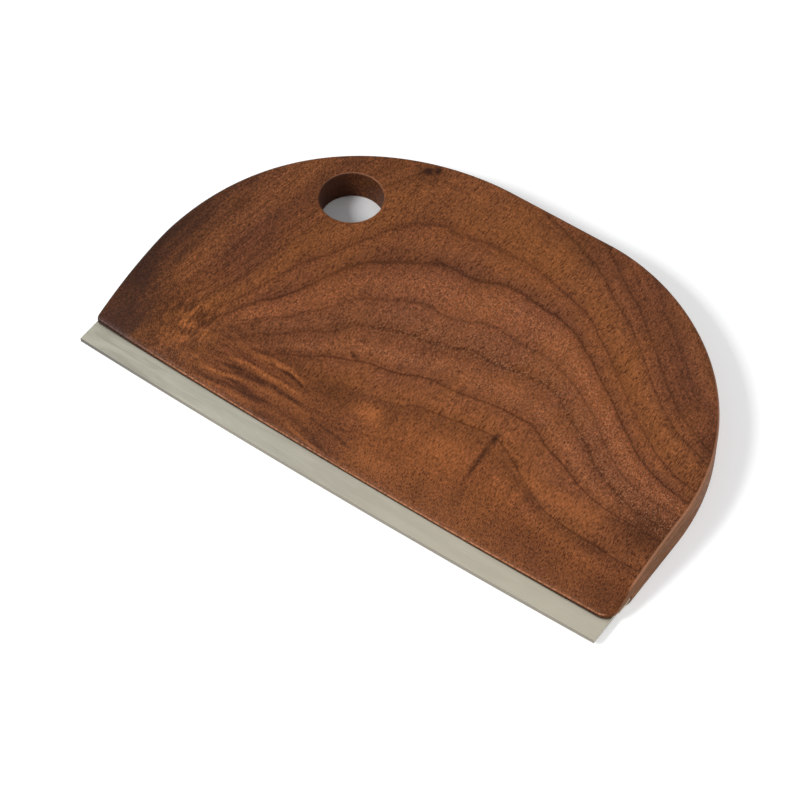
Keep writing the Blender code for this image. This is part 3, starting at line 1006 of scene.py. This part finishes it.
# Studio, in metres but for the patch under the hole

studio = {
    "cameraAt": (0.33583, -0.49427, 0.77232), "lens": 132.98, "sensor": 36.0, "clipEnd": 20.0,
    "right": (0.8137689, 0.5811886, 0.0), "up": (-0.4644003, 0.6502442, 0.6012610),
    "worldStrength": 0.31, "floorHalf": 3.0, "floorTone": (0.825, 0.84, 0.848), "floorSpeckle": 0.01,
    "speckleScale": 0.02, "floorRoughness": 0.9, "floorLift": 0.37, "underHole": 24, "underHoleEdge": 0.3,
    # Area lights, all aimed at the origin: place, size, power, whether gloss shows them
    "lights": {
        "key": ((-0.55, -0.90, 0.92), 0.36, 15.0, True),
        "fill": ((0.35, 0.35, 1.6), 1.2, 2.6, False),
        "side": ((1.15, -0.25, 0.42), 0.6, 4.0, False),
    },
}


def placeCamera():
    right, up = Vector(studio["right"]), Vector(studio["up"])
    turn = Matrix((right, up, right.cross(up))).transposed()
    data = bpy.data.cameras.new("studioCamera")
    data.sensor_fit = "HORIZONTAL"
    data.sensor_width = studio["sensor"]
    data.lens = studio["lens"]
    data.clip_end = studio["clipEnd"]
    camera = placed("studioCamera", data)
    camera.matrix_world = Matrix.Translation(studio["cameraAt"]) @ turn.to_4x4()
    bpy.context.scene.camera = camera


def makeFloor():
    material, tree, shader = newMaterial("paleFloor")
    speckle = cloud(tree, millimetres(tree), studio["speckleScale"])
    paler = [part + studio["floorSpeckle"] for part in studio["floorTone"]]
    tones = ramp(speckle, ((0.0, (*studio["floorTone"], 1.0)), (1.0, (*paler, 1.0))))
    plug(shader.inputs["Base Color"], tones)
    shader.inputs["Roughness"].default_value = studio["floorRoughness"]
    shader.inputs["Specular IOR Level"].default_value = 0.0
    shader.inputs["Emission Color"].default_value = (1, 1, 1, 1)
    rays = tree.nodes.new("ShaderNodeLightPath")
    seen = calc("MAXIMUM", rays.outputs["Is Camera Ray"], rays.outputs["Is Glossy Ray"])
    # The floor is lifted to near white, but not where it is seen through the hole.
    x, y = splitOf(millimetres(tree))[:2]
    underHole = roundHole(x, y, studio["underHole"])
    lift = between(underHole, 0.0, studio["underHoleEdge"], studio["floorLift"], 0.0)
    plug(shader.inputs["Emission Strength"], times(seen, lift))
    return material


def placeFloor():
    bm = bmesh.new()
    bmesh.ops.create_grid(bm, x_segments=1, y_segments=1, size=studio["floorHalf"])
    mesh = meshFrom(bm, "floor")
    mesh.materials.append(makeFloor())
    floor = placed("floor", mesh)


def lightRoom():
    world = bpy.data.worlds.new("studioWorld")
    bpy.context.scene.world = world
    world.use_nodes = True
    tree = world.node_tree
    background = tree.nodes["Background"]
    rays = tree.nodes.new("ShaderNodeLightPath")
    seen = calc("MAXIMUM", rays.outputs["Is Camera Ray"], rays.outputs["Is Transmission Ray"])
    seen = calc("MAXIMUM", seen, rays.outputs["Is Glossy Ray"])
    strength = between(seen, 0.0, 1.0, studio["worldStrength"], 1.0, smooth=False)
    plug(background.inputs["Strength"], strength)
    background.inputs["Color"].default_value = (1, 1, 1, 1)
    for name, (place, size, power, inGloss) in studio["lights"].items():
        data = bpy.data.lights.new(name + "Light", "AREA")
        data.shape = "SQUARE"
        data.size = size
        data.energy = power
        lamp = placed(name + "Light", data)
        aim = Vector(place).to_track_quat("Z", "Y")
        lamp.matrix_world = Matrix.Translation(place) @ aim.to_matrix().to_4x4()
        lamp.visible_glossy = inGloss
    bpy.context.scene.view_settings.view_transform = "Standard"


placeCamera()
placeFloor()
lightRoom()
print("studio ready")
buildBoard(makeWalnut())
print("board ready")
buildStrip(makeSteel())
print("strip ready")
buildGlue(makeEpoxy())
print("adhesive ready")
